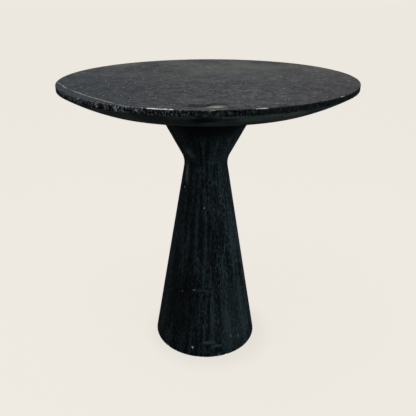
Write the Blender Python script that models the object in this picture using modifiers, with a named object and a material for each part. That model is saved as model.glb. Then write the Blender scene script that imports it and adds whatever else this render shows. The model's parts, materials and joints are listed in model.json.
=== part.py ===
"""Round pedestal table: a turned stone pedestal and a bevelled round stone top that spins onto a tie rod.

Units are metres and +Z is up. The origin is on the floor, at the centre of the foot.
"""

import math

import bpy

# Stone top
TABLE_HEIGHT = 0.720
TOP_RADIUS = 0.350
EDGE_BAND = 0.012  # height of the upright edge
BEVEL_DROP = 0.036  # height of the sloping underside below the edge band
BEVEL_INSET = 0.074  # how far the sloping underside runs inwards
BEVEL_BULGE = 0.002  # outward bow of the sloping underside
TOP_ARRIS = 0.0015  # rounding of the upper edge
LOWER_ARRIS = 0.0010  # rounding between the edge band and the bevel

# Stone pedestal
HEAD_RADIUS = 0.132
HEAD_DROP = 0.150  # from the head's flat to the height of the waist
HEAD_ARRIS = 0.0015
WAIST_RADIUS = 0.0525  # where the two cones would meet without the waist's rounding
WAIST_ROUNDING = 0.056
FOOT_RADIUS = 0.1405
FOOT_ROUNDING = 0.007

# Tie rod, its nuts and the bore that holds them
ROD_RADIUS = 0.008
THREAD_PITCH = 0.002
TURNS_TO_FREE = 12  # turns that take the top off the rod
BORE_CLEARANCE = 0.003  # between the rod and the pedestal's bore
BUSH_LENGTH = 0.030
NUT_ACROSS_FLATS = 0.024
NUT_HEIGHT = 0.013
NUT_BEVEL = 0.0006
WASHER_RADIUS = 0.020
WASHER_THICKNESS = 0.003
WASHER_EDGE = 0.0004  # rounding of the head washer's rim
HEAD_SOCKET_MARGIN = 0.004  # between the head washer's rim and the wall of its socket
HEAD_SOCKET_SPARE = 0.003  # from the head nut up to the head's flat
ANCHOR_PLATE_RADIUS = 0.031
ANCHOR_PLATE_THICKNESS = 0.006
FOOT_SOCKET_MARGIN = 0.003  # between the anchor plate's rim and the wall of its socket
FOOT_SOCKET_SPARE = 0.008  # from the rod's lower end down to the foot's flat
DISC_SPRING_RADIUS = 0.016
DISC_SPRING_THICKNESS = 0.0016
DISC_SPRING_DISH = 0.0012
ROD_TAIL = 0.004  # rod below the foot nut
ROD_CHAMFER = 0.0012

# Soft layers
GASKET_THICKNESS = 0.001
GASKET_RIM_MARGIN = 0.010  # from the head's rim in to the gasket
GASKET_BORE_MARGIN = 0.006  # from the slip washer's rim out to the gasket
SLIP_WASHER_OVERLAP = 0.010  # how far the slip washer covers the head around its socket
FELT_THICKNESS = 0.002
FELT_RIM_MARGIN = 0.014  # from the foot's rim in to the felt
FELT_BORE_MARGIN = 0.010  # from the foot socket's rim out to the felt

# Mounting plate, hub, inserts and screws
PLATE_RADIUS = 0.090
PLATE_THICKNESS = 0.006
PLATE_EDGE = 0.0008  # rounding of the rims of the mounting plate and the anchor plate
HUB_RADIUS = 0.018
HUB_EDGE = 0.0010  # rounding of the hub's rims
HUB_COVER = 0.0023  # from the rod's upper end up to the hub's
HUB_ROOF = 0.0023  # space over the hub in the stone
SCREW_COUNT = 6
SCREW_CIRCLE_MARGIN = 0.018  # from the plate's rim in to the screws' circle
SCREW_RADIUS = 0.003
SCREW_REACH = 0.011  # shank above the plate
SCREW_HEAD_RADIUS = 0.006
SCREW_HEAD_RIM = 0.0004
SOCKET_ACROSS_FLATS = 0.004
SOCKET_DEPTH = 0.0022
INSERT_WALL = 0.002
INSERT_LENGTH = 0.014
INSERT_EDGE = 0.0005  # rounding of the inserts' rims

# Clearances
GAP = 0.0003  # between pieces that touch
THREAD_GAP = 0.0003  # between the rod or a screw and the thread that it runs in
PLATE_GAP = 0.001  # around the plate and the hub in the stone

# Facets
LARGE_STEPS = 72
MEDIUM_STEPS = 48
SMALL_STEPS = 24
SCREW_STEPS = 16
ARC_TOLERANCE = 0.0001  # most that a facet of a rounding may cut off
BOW_STEPS = 6  # facets of the sloping underside's bow
MERGE_DISTANCE = 0.00001  # closes the seam and the poles of a turned piece
SHARP_ANGLE = math.radians(32)  # edges that turn by more are shaded sharp

# Places that follow from the sizes
UNDERSIDE = TABLE_HEIGHT - EDGE_BAND - BEVEL_DROP
HEAD_FLAT = UNDERSIDE - GASKET_THICKNESS - 2 * GAP
FOOT_FLAT = FELT_THICKNESS + GAP
WAIST_HEIGHT = HEAD_FLAT - HEAD_DROP
ROD_STANDOUT = TURNS_TO_FREE * THREAD_PITCH
ROD_TOP = UNDERSIDE + ROD_STANDOUT
THREAD_RADIUS = ROD_RADIUS + THREAD_GAP
BORE_RADIUS = ROD_RADIUS + BORE_CLEARANCE
HEAD_SOCKET_RADIUS = WASHER_RADIUS + HEAD_SOCKET_MARGIN
HEAD_SOCKET_FLOOR = HEAD_FLAT - HEAD_SOCKET_SPARE - NUT_HEIGHT - WASHER_THICKNESS - 2 * GAP
FOOT_SOCKET_RADIUS = ANCHOR_PLATE_RADIUS + FOOT_SOCKET_MARGIN
ROD_BOTTOM = FOOT_FLAT + FOOT_SOCKET_SPARE
FOOT_NUT_BASE = ROD_BOTTOM + ROD_TAIL
DISC_SPRING_BASE = FOOT_NUT_BASE + NUT_HEIGHT + GAP
ANCHOR_PLATE_BASE = DISC_SPRING_BASE + DISC_SPRING_THICKNESS + DISC_SPRING_DISH + GAP
FOOT_SOCKET_ROOF = ANCHOR_PLATE_BASE + ANCHOR_PLATE_THICKNESS + GAP
SLIP_WASHER_RADIUS = HEAD_SOCKET_RADIUS + SLIP_WASHER_OVERLAP
PLATE_TOP = UNDERSIDE + PLATE_THICKNESS
POCKET_ROOF = PLATE_TOP + GAP
HUB_TOP = ROD_TOP + HUB_COVER
SCREW_CIRCLE = PLATE_RADIUS - SCREW_CIRCLE_MARGIN
INSERT_BORE = SCREW_RADIUS + THREAD_GAP
INSERT_RADIUS = INSERT_BORE + INSERT_WALL

# Colours (linear) with roughness and metallic value
FINISHES = {
    "dark_stone": ((0.012, 0.017, 0.017), 0.38, 0.0),
    "zinc_steel": ((0.42, 0.43, 0.44), 0.35, 1.0),
    "black_steel": ((0.05, 0.05, 0.052), 0.45, 0.9),
    "brass": ((0.62, 0.44, 0.17), 0.30, 1.0),
    "white_nylon": ((0.72, 0.71, 0.66), 0.45, 0.0),
    "cork": ((0.30, 0.19, 0.10), 0.85, 0.0),
    "grey_felt": ((0.06, 0.06, 0.06), 0.95, 0.0),
}


def clear_scene():
    for obj in list(bpy.data.objects):
        bpy.data.objects.remove(obj, do_unlink=True)


def new_collection(name):
    collection = bpy.data.collections.new(name)
    bpy.context.scene.collection.children.link(collection)
    return collection


def finish(name):
    """The named finish as a Principled material, made on its first use."""
    material = bpy.data.materials.get(name)
    if material:
        return material
    colour, roughness, metallic = FINISHES[name]
    material = bpy.data.materials.new(name)
    material.use_nodes = True
    shader = material.node_tree.nodes["Principled BSDF"]
    shader.inputs["Base Color"].default_value = (*colour, 1.0)
    shader.inputs["Roughness"].default_value = roughness
    shader.inputs["Metallic"].default_value = metallic
    material.diffuse_color = (*colour, 1.0)
    return material


def body_empty(name, height):
    """An empty on the table's axis that carries the pieces of one body."""
    empty = bpy.data.objects.new(name, None)
    empty.location = (0.0, 0.0, height)
    TABLE.objects.link(empty)
    return empty


def seat(obj, body, place):
    """Puts a piece under its body's empty, with its own origin at the given place."""
    obj.parent = body
    obj.location = (place[0], place[1], place[2] - body.location.z)


def rounded(corners):
    """Outline through (radius, height, rounding) corners, with a tangent arc at each rounded one."""
    points = []
    for i, (radius, height, rounding) in enumerate(corners):
        if not rounding:
            points.append((radius, height))
            continue
        sides = []
        for other in (corners[i - 1], corners[(i + 1) % len(corners)]):
            run, rise = other[0] - radius, other[1] - height
            length = math.hypot(run, rise)
            sides.append((run / length, rise / length))
        (ax, az), (bx, bz) = sides
        half = math.acos(ax * bx + az * bz) / 2
        reach = rounding / math.tan(half)
        middle = math.hypot(ax + bx, az + bz)
        to_centre = rounding / math.sin(half)
        centre_r = radius + (ax + bx) / middle * to_centre
        centre_z = height + (az + bz) / middle * to_centre
        start = math.atan2(height + az * reach - centre_z, radius + ax * reach - centre_r)
        end = math.atan2(height + bz * reach - centre_z, radius + bx * reach - centre_r)
        sweep = (end - start + math.pi) % (2 * math.pi) - math.pi
        facet = 2 * math.acos(max(0.5, 1 - ARC_TOLERANCE / rounding))
        steps = max(2, math.ceil(abs(sweep) / facet))
        for k in range(steps + 1):
            angle = start + sweep * k / steps
            points.append((centre_r + rounding * math.cos(angle), centre_z + rounding * math.sin(angle)))
    return points


def bowed(start, end, bulge):
    """Points between two ends of a line that bows to its left by the bulge, without the ends."""
    run, rise = end[0] - start[0], end[1] - start[1]
    length = math.hypot(run, rise)
    points = []
    for k in range(1, BOW_STEPS):
        share = k / BOW_STEPS
        out = 4 * bulge * share * (1 - share) / length
        points.append((start[0] + run * share - rise * out, start[1] + rise * share + run * out))
    return points


def turned(name, outline, stuff, body, place=(0.0, 0.0, 0.0), steps=SMALL_STEPS, closed=True):
    """A turned piece. The outline runs down its outer side, and place is the origin of its heights.

    A closed outline makes a ring. An open one starts and ends on the axis and makes a solid piece.
    """
    edges = [(i, i + 1) for i in range(len(outline) - 1)]
    if closed:
        edges.append((len(outline) - 1, 0))
    profile = bpy.data.meshes.new(name + "_profile")
    profile.from_pydata([(radius, 0.0, height) for radius, height in outline], edges, [])
    obj = bpy.data.objects.new(name, profile)
    TABLE.objects.link(obj)
    screw = obj.modifiers.new("turn", "SCREW")
    screw.steps = steps
    screw.render_steps = steps
    screw.use_merge_vertices = True
    screw.merge_threshold = MERGE_DISTANCE
    graph = bpy.context.evaluated_depsgraph_get()
    mesh = bpy.data.meshes.new_from_object(obj.evaluated_get(graph))
    mesh.name = name
    mesh.materials.append(finish(stuff))
    mesh.shade_smooth()
    mesh.set_sharp_from_angle(angle=SHARP_ANGLE)
    obj.modifiers.clear()
    obj.data = mesh
    bpy.data.meshes.remove(profile)
    seat(obj, body, place)
    return obj


def ring(name, inner, outer, low, high, stuff, body, edge=0.0, **more):
    """A flat ring about the table's axis, or about place, with its outer edges rounded."""
    corners = [(outer, high, edge), (outer, low, edge), (inner, low, 0.0), (inner, high, 0.0)]
    return turned(name, rounded(corners), stuff, body, **more)


def prism(name, sides, radius, low, high, centre=(0.0, 0.0)):
    """An upright prism or cylinder as a primitive, with its origin at its middle."""
    bpy.ops.mesh.primitive_cylinder_add(vertices=sides, radius=radius, depth=high - low)
    obj = bpy.context.object
    obj.name = obj.data.name = name
    for collection in obj.users_collection:
        collection.objects.unlink(obj)
    obj.location = (centre[0], centre[1], (low + high) / 2)
    return obj


def cut(piece, cutter):
    """Subtracts the cutter from the piece and keeps it as a hidden guide."""
    if cutter.name not in CUTTERS.objects:
        CUTTERS.objects.link(cutter)
    cutter.hide_render = True
    cutter.display_type = "WIRE"
    modifier = piece.modifiers.new(cutter.name, "BOOLEAN")
    modifier.object = cutter
    modifier.operation = "DIFFERENCE"
    modifier.solver = "EXACT"


def hex_nut(name, low, body):
    """A hexagonal nut around the tie rod, with eased corners and a plain bore."""
    nut = prism(name, 6, NUT_ACROSS_FLATS / math.sqrt(3), low, low + NUT_HEIGHT)
    TABLE.objects.link(nut)
    nut.data.materials.append(finish("zinc_steel"))
    easing = nut.modifiers.new("easing", "BEVEL")
    easing.width = NUT_BEVEL
    easing.segments = 1
    seat(nut, body, nut.location.copy())
    cut(nut, prism(name + "_bore", SMALL_STEPS, THREAD_RADIUS, low - NUT_HEIGHT, low + 2 * NUT_HEIGHT))


def screw_places():
    """The middles of the plate screws, evenly spaced on their circle and clear of the axes."""
    for i in range(SCREW_COUNT):
        angle = 2 * math.pi * (i + 0.5) / SCREW_COUNT
        yield i + 1, (SCREW_CIRCLE * math.cos(angle), SCREW_CIRCLE * math.sin(angle))


def make_pedestal(body):
    outline = rounded([
        (HEAD_RADIUS, HEAD_FLAT, HEAD_ARRIS),
        (WAIST_RADIUS, WAIST_HEIGHT, WAIST_ROUNDING),
        (FOOT_RADIUS, FOOT_FLAT, FOOT_ROUNDING),
        (FOOT_SOCKET_RADIUS, FOOT_FLAT, 0.0),
        (FOOT_SOCKET_RADIUS, FOOT_SOCKET_ROOF, 0.0),
        (BORE_RADIUS, FOOT_SOCKET_ROOF, 0.0),
        (BORE_RADIUS, HEAD_SOCKET_FLOOR, 0.0),
        (HEAD_SOCKET_RADIUS, HEAD_SOCKET_FLOOR, 0.0),
        (HEAD_SOCKET_RADIUS, HEAD_FLAT, 0.0),
    ])
    turned("pedestal", outline, "dark_stone", body, steps=LARGE_STEPS)


def make_tie_rod(body):
    outline = [
        (0.0, ROD_TOP),
        (ROD_RADIUS - ROD_CHAMFER, ROD_TOP),
        (ROD_RADIUS, ROD_TOP - ROD_CHAMFER),
        (ROD_RADIUS, ROD_BOTTOM + ROD_CHAMFER),
        (ROD_RADIUS - ROD_CHAMFER, ROD_BOTTOM),
        (0.0, ROD_BOTTOM),
    ]
    turned("tie_rod", outline, "zinc_steel", body, closed=False)


def make_rod_fittings(body):
    """The bushes, washers and nuts that centre the tie rod in the pedestal and clamp it there."""
    bush = (THREAD_RADIUS, BORE_RADIUS - GAP)
    upper = HEAD_SOCKET_FLOOR - GAP
    lower = FOOT_SOCKET_ROOF + GAP
    ring("upper_bush", *bush, upper - BUSH_LENGTH, upper, "white_nylon", body)
    ring("lower_bush", *bush, lower, lower + BUSH_LENGTH, "white_nylon", body)
    washer_base = HEAD_SOCKET_FLOOR + GAP
    washer_top = washer_base + WASHER_THICKNESS
    washer = (THREAD_RADIUS, WASHER_RADIUS, washer_base, washer_top)
    ring("head_washer", *washer, "zinc_steel", body, edge=WASHER_EDGE)
    hex_nut("head_nut", washer_top + GAP, body)
    anchor_top = ANCHOR_PLATE_BASE + ANCHOR_PLATE_THICKNESS
    anchor = (THREAD_RADIUS, ANCHOR_PLATE_RADIUS, ANCHOR_PLATE_BASE, anchor_top)
    ring("anchor_plate", *anchor, "black_steel", body, edge=PLATE_EDGE, steps=MEDIUM_STEPS)
    low, high = DISC_SPRING_BASE, DISC_SPRING_BASE + DISC_SPRING_THICKNESS
    dished = [
        (DISC_SPRING_RADIUS, low + DISC_SPRING_DISH + DISC_SPRING_THICKNESS),
        (DISC_SPRING_RADIUS, low + DISC_SPRING_DISH),
        (THREAD_RADIUS, low),
        (THREAD_RADIUS, high),
    ]
    turned("disc_spring", dished, "zinc_steel", body)
    hex_nut("foot_nut", FOOT_NUT_BASE, body)


def make_soft_layers(body):
    """The cork gasket between the stones and the felt under the foot."""
    gasket_low = HEAD_FLAT + GAP
    gasket = (SLIP_WASHER_RADIUS + GASKET_BORE_MARGIN, HEAD_RADIUS - GASKET_RIM_MARGIN)
    ring("head_gasket", *gasket, gasket_low, gasket_low + GASKET_THICKNESS, "cork", body, steps=MEDIUM_STEPS)
    felt = (FOOT_SOCKET_RADIUS + FELT_BORE_MARGIN, FOOT_RADIUS - FELT_RIM_MARGIN)
    ring("foot_felt", *felt, 0.0, FELT_THICKNESS, "grey_felt", body, steps=MEDIUM_STEPS)


def make_slip_washer(body):
    low = HEAD_FLAT + GAP
    washer = (THREAD_RADIUS, SLIP_WASHER_RADIUS, low, low + GASKET_THICKNESS)
    ring("slip_washer", *washer, "white_nylon", body, steps=SMALL_STEPS)


def make_tabletop(body):
    band_foot = (TOP_RADIUS, TABLE_HEIGHT - EDGE_BAND)
    bevel_foot = (TOP_RADIUS - BEVEL_INSET, UNDERSIDE)
    pocket = PLATE_RADIUS + PLATE_GAP
    hub_pocket = HUB_RADIUS + PLATE_GAP
    hub_roof = HUB_TOP + HUB_ROOF
    outline = rounded([
        (0.0, TABLE_HEIGHT, 0.0),
        (TOP_RADIUS, TABLE_HEIGHT, TOP_ARRIS),
        (*band_foot, LOWER_ARRIS),
        *((radius, height, 0.0) for radius, height in bowed(band_foot, bevel_foot, BEVEL_BULGE)),
        (*bevel_foot, 0.0),
        (pocket, UNDERSIDE, 0.0),
        (pocket, POCKET_ROOF, 0.0),
        (hub_pocket, POCKET_ROOF, 0.0),
        (hub_pocket, hub_roof, 0.0),
        (0.0, hub_roof, 0.0),
    ])
    top = turned("tabletop", outline, "dark_stone", body, steps=LARGE_STEPS, closed=False)
    hole = INSERT_RADIUS + GAP
    for i, centre in screw_places():
        low, high = POCKET_ROOF - PLATE_THICKNESS / 2, POCKET_ROOF + INSERT_LENGTH + GAP
        cut(top, prism(f"insert_hole_{i}", SCREW_STEPS, hole, low, high, centre))


def make_mounting_plate(body):
    """The steel disc let into the underside, with a countersunk hole for each screw, and its threaded hub."""
    plate = (THREAD_RADIUS, PLATE_RADIUS, UNDERSIDE, PLATE_TOP)
    disc = ring("mounting_plate", *plate, "black_steel", body, edge=PLATE_EDGE, steps=MEDIUM_STEPS)
    for i, centre in screw_places():
        place = (*centre, UNDERSIDE)
        sink = turned(f"screw_hole_{i}", screw_hole_outline(), "black_steel", body, place, SCREW_STEPS, False)
        TABLE.objects.unlink(sink)
        cut(disc, sink)
    hub = (THREAD_RADIUS, HUB_RADIUS, POCKET_ROOF, HUB_TOP)
    ring("plate_hub", *hub, "black_steel", body, edge=HUB_EDGE, steps=SMALL_STEPS)


def screw_hole_outline():
    """A clearance hole with a countersink that opens downwards, longer than the plate at both ends."""
    shank = SCREW_RADIUS + THREAD_GAP
    mouth = SCREW_HEAD_RADIUS + THREAD_GAP
    rim = SCREW_HEAD_RIM + 2 * GAP
    return [
        (0.0, 2 * PLATE_THICKNESS),
        (shank, 2 * PLATE_THICKNESS),
        (shank, rim + mouth - shank),
        (mouth, rim),
        (mouth, -PLATE_THICKNESS),
        (0.0, -PLATE_THICKNESS),
    ]


def make_screws(body):
    """Countersunk screws up through the plate, each in a threaded insert that is bonded into the stone."""
    cone_top = GAP + SCREW_HEAD_RIM + SCREW_HEAD_RADIUS - SCREW_RADIUS
    shank_top = PLATE_THICKNESS + SCREW_REACH
    outline = [
        (0.0, shank_top),
        (SCREW_RADIUS - ROD_CHAMFER / 2, shank_top),
        (SCREW_RADIUS, shank_top - ROD_CHAMFER / 2),
        (SCREW_RADIUS, cone_top),
        (SCREW_HEAD_RADIUS, GAP + SCREW_HEAD_RIM),
        (SCREW_HEAD_RADIUS, GAP),
        (0.0, GAP),
    ]
    for i, centre in screw_places():
        place = (*centre, UNDERSIDE)
        screw = turned(f"plate_screw_{i}", outline, "zinc_steel", body, place, SCREW_STEPS, False)
        socket_low, socket_high = UNDERSIDE - SOCKET_DEPTH, UNDERSIDE + GAP + SOCKET_DEPTH
        socket_radius = SOCKET_ACROSS_FLATS / math.sqrt(3)
        cut(screw, prism(f"screw_socket_{i}", 6, socket_radius, socket_low, socket_high, centre))
        insert = (INSERT_BORE, INSERT_RADIUS, 0.0, INSERT_LENGTH)
        place = (*centre, POCKET_ROOF)
        ring(f"threaded_insert_{i}", *insert, "brass", body, edge=INSERT_EDGE, place=place, steps=SCREW_STEPS)


clear_scene()
TABLE = new_collection("round_pedestal_table")
CUTTERS = new_collection("cutters")
pedestal_body = body_empty("pedestal_body", 0.0)
lift_body = body_empty("lift_body", HEAD_FLAT)
top_body = body_empty("top_body", UNDERSIDE)
lift_body.parent = pedestal_body
top_body.parent = pedestal_body
make_pedestal(pedestal_body)
make_tie_rod(pedestal_body)
make_rod_fittings(pedestal_body)
make_soft_layers(pedestal_body)
make_slip_washer(lift_body)
make_tabletop(top_body)
make_mounting_plate(top_body)
make_screws(top_body)
CUTTERS.hide_render = True
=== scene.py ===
"""Round pedestal table in dark green-black stone, with the hardware that joins its top to its pedestal.

Every piece but the mounting plate is a fine mesh worked out with numpy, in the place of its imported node.
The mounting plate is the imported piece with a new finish.
"""

import json
import math

import bpy
import numpy as np
from mathutils import Euler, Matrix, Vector


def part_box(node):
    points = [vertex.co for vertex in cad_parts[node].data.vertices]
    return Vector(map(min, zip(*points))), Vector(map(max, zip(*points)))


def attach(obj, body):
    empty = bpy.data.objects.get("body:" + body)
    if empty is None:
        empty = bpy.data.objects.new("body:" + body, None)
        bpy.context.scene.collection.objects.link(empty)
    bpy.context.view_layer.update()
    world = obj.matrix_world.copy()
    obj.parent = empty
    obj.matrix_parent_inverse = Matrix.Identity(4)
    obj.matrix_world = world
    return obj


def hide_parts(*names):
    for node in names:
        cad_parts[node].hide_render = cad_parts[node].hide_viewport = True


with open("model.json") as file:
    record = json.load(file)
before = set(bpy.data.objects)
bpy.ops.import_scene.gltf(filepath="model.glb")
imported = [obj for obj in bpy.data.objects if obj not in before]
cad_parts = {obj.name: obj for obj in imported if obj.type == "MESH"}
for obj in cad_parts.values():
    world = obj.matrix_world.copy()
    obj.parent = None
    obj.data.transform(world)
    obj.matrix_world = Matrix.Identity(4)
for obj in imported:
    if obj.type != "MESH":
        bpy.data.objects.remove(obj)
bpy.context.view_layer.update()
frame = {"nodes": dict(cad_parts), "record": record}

MM = 0.001
TAU = 2 * math.pi

# Sizes of the stones that their boxes don't give
EDGE_BAND = 12 * MM
BEVEL_INSET = 74 * MM
BEVEL_BULGE = 2 * MM
TOP_ARRIS = 1.5 * MM
LOWER_ARRIS = 1.0 * MM
HEAD_RADIUS = 132 * MM
HEAD_DROP = 150 * MM
HEAD_ARRIS = 1.5 * MM
WAIST_RADIUS = 52.5 * MM
WAIST_ROUNDING = 56 * MM
FOOT_RADIUS = 140.5 * MM
FOOT_ROUNDING = 7 * MM

# A shallow dent near the front of the top: its middle, its reach along x and y, and how deep it is
DENT_MIDDLE = (-0.026, -0.310)
DENT_REACH = (0.040, 0.024)
DENT_DEPTH = 2.2 * MM

# The play round a piece in its hole or socket, and round the plate and its hub in the top's pocket
FIT = 0.3 * MM
POCKET_PLAY = 1.0 * MM

# Threads: the tie rod's, and the one of the screws and their inserts
PITCH = 2 * MM
SCREW_PITCH = 1 * MM
SCREW_COUNT = 6

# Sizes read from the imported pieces
TOP_LOW, TOP_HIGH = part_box("tabletop")
PEDESTAL_LOW, PEDESTAL_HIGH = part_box("pedestal")
TOP_RADIUS = TOP_HIGH.x
TABLE_HEIGHT = TOP_HIGH.z
UNDERSIDE = TOP_LOW.z
HEAD_FLAT = PEDESTAL_HIGH.z
FOOT_FLAT = PEDESTAL_LOW.z
WAIST_HEIGHT = HEAD_FLAT - HEAD_DROP
ROD_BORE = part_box("tie_rod")[1].x + FIT


# ---------------- profiles and surfaces

def line(start, end, count):
    """Evenly spaced points from start to end, without the end."""
    share = np.arange(count)[:, None] / count
    return np.array(start) + share * (np.array(end) - np.array(start))


def bow(start, end, bulge, count):
    """A line that bows to its left: straight share t, pushed out by 4 t (1 - t) bulge, without the end."""
    points = line(start, end, count)
    run = np.array(end) - np.array(start)
    left = np.array([-run[1], run[0]]) / np.hypot(*run)
    share = np.arange(count)[:, None] / count
    return points + 4 * share * (1 - share) * bulge * left


def fillet(before, corner, after, radius, count):
    """The arc of that radius that is tangent to both sides of a corner, both ends included."""
    before, corner, after = (np.array(p, float) for p in (before, corner, after))
    side_a = (before - corner) / np.hypot(*(before - corner))
    side_b = (after - corner) / np.hypot(*(after - corner))
    half = math.acos(float(side_a @ side_b)) / 2
    middle = (side_a + side_b) / np.hypot(*(side_a + side_b))
    centre = corner + middle * radius / math.sin(half)
    spoke = corner + side_a * radius / math.tan(half) - centre
    end = corner + side_b * radius / math.tan(half) - centre
    start_angle = math.atan2(spoke[1], spoke[0])
    sweep = (math.atan2(end[1], end[0]) - start_angle + math.pi) % TAU - math.pi
    angle = start_angle + sweep * np.linspace(0, 1, count)
    return centre + radius * np.stack([np.cos(angle), np.sin(angle)], axis=1)


def outward(profile):
    """Unit normals of a profile that runs down its outer side: the tangent turned a quarter to the left."""
    ahead = np.roll(profile, -1, axis=0) - np.roll(profile, 1, axis=0)
    ahead[0], ahead[-1] = profile[1] - profile[0], profile[-1] - profile[-2]
    length = np.maximum(np.hypot(ahead[:, 0], ahead[:, 1]), 1e-9)
    return np.stack([-ahead[:, 1], ahead[:, 0]], axis=1) / length[:, None]


def skin(name, radius, height, centre=(0.0, 0.0), ring=True):
    """A closed surface on a grid of rows and columns, smooth apart from its sharp edges.

    Row i, column j lies at centre + radius (cos a, sin a), at its height, with a = 2 pi j / columns.
    A ring joins its last row to its first. Otherwise the first and last rows shrink to one pole each.
    """
    rows, columns = radius.shape
    turn = TAU * np.arange(columns) / columns
    height = np.broadcast_to(height, radius.shape)
    points = np.stack([centre[0] + radius * np.cos(turn), centre[1] + radius * np.sin(turn), height], axis=2)
    index = np.arange(rows * columns).reshape(rows, columns)
    upper = index if ring else index[:-1]
    lower = np.roll(index, -1, axis=0) if ring else index[1:]
    quads = np.stack([upper, lower, np.roll(lower, -1, axis=1), np.roll(upper, -1, axis=1)], axis=2)
    faces = quads.reshape(-1, 4).tolist()
    points = points.reshape(-1, 3)
    if not ring:
        poles = np.array([[*centre, height[0].mean()], [*centre, height[-1].mean()]])
        first, last = index[0], index[-1]
        top_pole, low_pole = rows * columns, rows * columns + 1
        points = np.concatenate([points, poles])
        faces += np.stack([np.full(columns, top_pole), first, np.roll(first, -1)], axis=1).tolist()
        faces += np.stack([np.full(columns, low_pole), np.roll(last, -1), last], axis=1).tolist()
    mesh = bpy.data.meshes.new(name)
    mesh.from_pydata(points, [], faces)
    mesh.shade_smooth()
    mesh.set_sharp_from_angle(angle=math.radians(38))
    piece = bpy.data.objects.new(name, mesh)
    bpy.context.scene.collection.objects.link(piece)
    return piece


def turned(name, profile, columns, relief=0.0, **more):
    """A turned surface: each profile point goes round the axis, pushed along its normal by the relief."""
    normal = outward(profile)
    relief = np.broadcast_to(relief, (len(profile), columns))
    radius = profile[:, :1] + normal[:, :1] * relief
    height = profile[:, 1:] + normal[:, 1:] * relief
    return skin(name, radius, height, **more)


def soft_noise(seed, rows, columns, along, around):
    """Smooth random field between about -1 and 1, the same at both ends of a row.

    White noise is blurred by a Gaussian of that many rows and columns, through its Fourier transform.
    """
    white = np.random.default_rng(seed).standard_normal((rows, columns))
    row_wave = np.fft.fftfreq(rows)[:, None]
    column_wave = np.fft.fftfreq(columns)[None, :]
    blur = np.exp(-2 * math.pi**2 * ((along * row_wave) ** 2 + (around * column_wave) ** 2))
    field = np.fft.ifft2(np.fft.fft2(white) * blur).real
    return field / (2.5 * field.std())


def nick_depth(columns, seed, count, half_width, depth, spread=(0.0, TAU)):
    """Depth of random nicks round an edge: each is a parabola over its width, and the deepest counts."""
    random = np.random.default_rng(seed)
    turn = TAU * np.arange(columns) / columns
    place = random.uniform(*spread, (count, 1))
    half = random.uniform(*half_width, (count, 1))
    deep = depth * random.uniform(0.3, 1.0, (count, 1)) ** 2
    away = (turn - place + math.pi) % TAU - math.pi
    return (deep * np.maximum(0.0, 1 - (away / half) ** 2)).max(axis=0)


def nicked(profile, edge, depth, slant=0.55):
    """How far each point sinks: a nick's full depth at the edge, less the slant times the distance to it."""
    distance = np.hypot(profile[:, 0] - edge[0], profile[:, 1] - edge[1])[:, None]
    return np.maximum(0.0, depth - slant * distance)


# ---------------- the stones

def tabletop_profile(rim, band_low, pocket, pocket_roof):
    """The slab's outline: flat top, eased edge, upright band, bowed bevel, pocket of plate and hub."""
    bevel_low = (TOP_RADIUS - BEVEL_INSET, UNDERSIDE)
    bevel_aim = (TOP_RADIUS - BEVEL_INSET / 6, band_low[1] - (band_low[1] - UNDERSIDE) / 4)
    upper_arris = fillet((0.0, TABLE_HEIGHT), rim, band_low, TOP_ARRIS, 7)
    lower_arris = fillet(rim, band_low, bevel_aim, LOWER_ARRIS, 4)
    bevel = bow(lower_arris[-1], bevel_low, BEVEL_BULGE, 10)
    hub_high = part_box("plate_hub")[1]
    hub_pocket, hub_roof = hub_high.x + POCKET_PLAY, hub_high.z + 2.3 * MM
    cap = 2 * MM
    before_dent = (TOP_RADIUS - 80 * MM, TABLE_HEIGHT)
    past_dent = (TOP_RADIUS - 12 * MM, TABLE_HEIGHT)
    return np.concatenate([
        line((cap, TABLE_HEIGHT), before_dent, 9),
        line(before_dent, past_dent, 17),
        line(past_dent, upper_arris[0], 8),
        upper_arris,
        line(upper_arris[-1], lower_arris[0], 9)[1:],
        lower_arris,
        bevel[1:],
        line(bevel_low, (pocket, UNDERSIDE), 5),
        line((pocket, UNDERSIDE), (pocket, pocket_roof), 2),
        line((pocket, pocket_roof), (hub_pocket, pocket_roof), 3),
        line((hub_pocket, pocket_roof), (hub_pocket, hub_roof), 2),
        line((hub_pocket, hub_roof), (cap, hub_roof), 2),
        [(cap, hub_roof)],
    ])


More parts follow.
